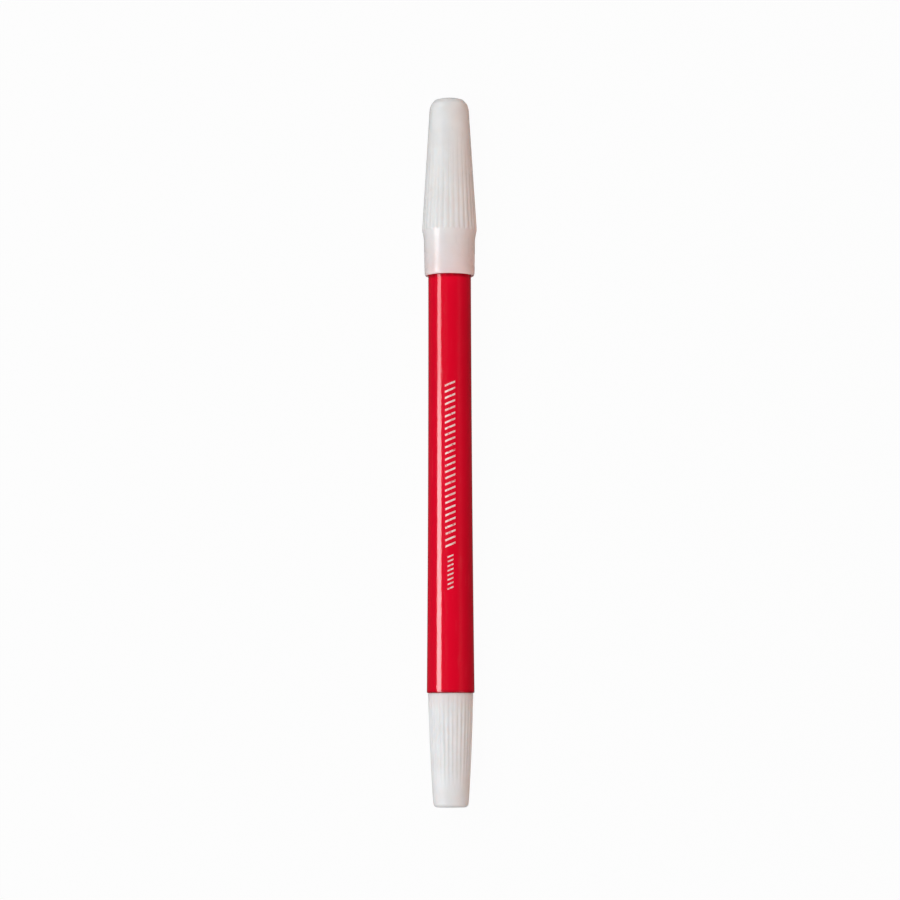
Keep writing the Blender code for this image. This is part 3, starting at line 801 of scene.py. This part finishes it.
def makeFloor():
    bm = bmesh.new()
    bmesh.ops.create_grid(bm, x_segments=2, y_segments=2, size=studio["floorSize"])
    mesh = bpy.data.meshes.new("studioFloor")
    bm.to_mesh(mesh)
    bm.free()
    floor = bpy.data.objects.new("studioFloor", mesh)
    bpy.context.scene.collection.objects.link(floor)
    material = bpy.data.materials.new("floorPale")
    material.use_nodes = True
    tree = material.node_tree
    tree.nodes.clear()
    matte = addNode(tree, "ShaderNodeBsdfDiffuse")
    matte.inputs["Color"].default_value = (*studio["floorColour"], 1.0)
    white = addNode(tree, "ShaderNodeEmission")
    mix = addNode(tree, "ShaderNodeMixShader")
    out = addNode(tree, "ShaderNodeOutputMaterial")
    addSeenWhite(tree, white, mix, studio["seenWhite"])
    tree.links.new(matte.outputs["BSDF"], mix.inputs[1])
    tree.links.new(white.outputs["Emission"], mix.inputs[2])
    tree.links.new(mix.outputs["Shader"], out.inputs["Surface"])
    mesh.materials.append(material)


def makeWorld():
    world = bpy.data.worlds.new("studioWorld")
    world.use_nodes = True
    tree = world.node_tree
    tree.nodes.clear()
    grey, white = addNode(tree, "ShaderNodeBackground"), addNode(tree, "ShaderNodeBackground")
    grey.inputs["Color"].default_value = (*studio["worldColour"], 1.0)
    white.inputs["Color"].default_value = (*studio["skyWhite"], 1.0)
    mix = addNode(tree, "ShaderNodeMixShader")
    out = addNode(tree, "ShaderNodeOutputWorld")
    addSeenWhite(tree, white, mix, 1.0)
    tree.links.new(grey.outputs["Background"], mix.inputs[1])
    tree.links.new(white.outputs["Background"], mix.inputs[2])
    tree.links.new(mix.outputs["Shader"], out.inputs["Surface"])
    bpy.context.scene.world = world


def addLamp(form):
    light = bpy.data.lights.new(form["name"], "AREA")
    light.shape = "RECTANGLE"
    light.size, light.size_y = form["size"]
    light.energy = form["radiance"] * math.pi * light.size * light.size_y
    light.color = form["colour"]
    lamp = bpy.data.objects.new(form["name"], light)
    bpy.context.scene.collection.objects.link(lamp)
    lamp.location = form["place"]
    lamp.rotation_euler = (Vector(form["aim"]) - Vector(form["place"])).to_track_quat("-Z", "Y").to_euler()
    lamp.visible_camera = False
    lamp.visible_glossy = form.get("onlyGloss", False)
    lamp.visible_diffuse = not lamp.visible_glossy
    if "lights" in form:
        group = bpy.data.collections.new(form["name"] + "Lights")
        for piece in form["lights"]:
            group.objects.link(piece)
        lamp.light_linking.receiver_collection = group


def makeStudio():
    makeFloor()
    makeWorld()
    for form in lamps:
        addLamp(form)
    bpy.context.scene.view_settings.view_transform = "Standard"
    print("studio: floor, world,", len(lamps), "lamps")


# camera: above the pen and a little towards its tail, as in the photo

cameraForm = {
    "target": (-0.00001, 0.00012, 0.0056), "distance": 0.7350, "tiltDeg": 4.81, "rollDeg": -0.15,
    "lens": 144.0, "sensor": 36.0, "clip": (0.01, 20.0),
}


def makeCamera():
    c = cameraForm
    data = bpy.data.cameras.new("photoCamera")
    data.lens, data.sensor_width, data.sensor_fit = c["lens"], c["sensor"], "HORIZONTAL"
    data.clip_start, data.clip_end = c["clip"]
    camera = bpy.data.objects.new("photoCamera", data)
    bpy.context.scene.collection.objects.link(camera)
    turn = Matrix.Rotation(math.radians(c["tiltDeg"]), 4, "X") @ Matrix.Rotation(math.radians(c["rollDeg"]), 4, "Z")
    camera.matrix_world = Matrix.Translation(c["target"]) @ turn @ Matrix.Translation((0.0, 0.0, c["distance"]))
    bpy.context.scene.camera = camera
    print("camera:", [round(v, 4) for v in camera.location])


makeStudio()
makeCamera()
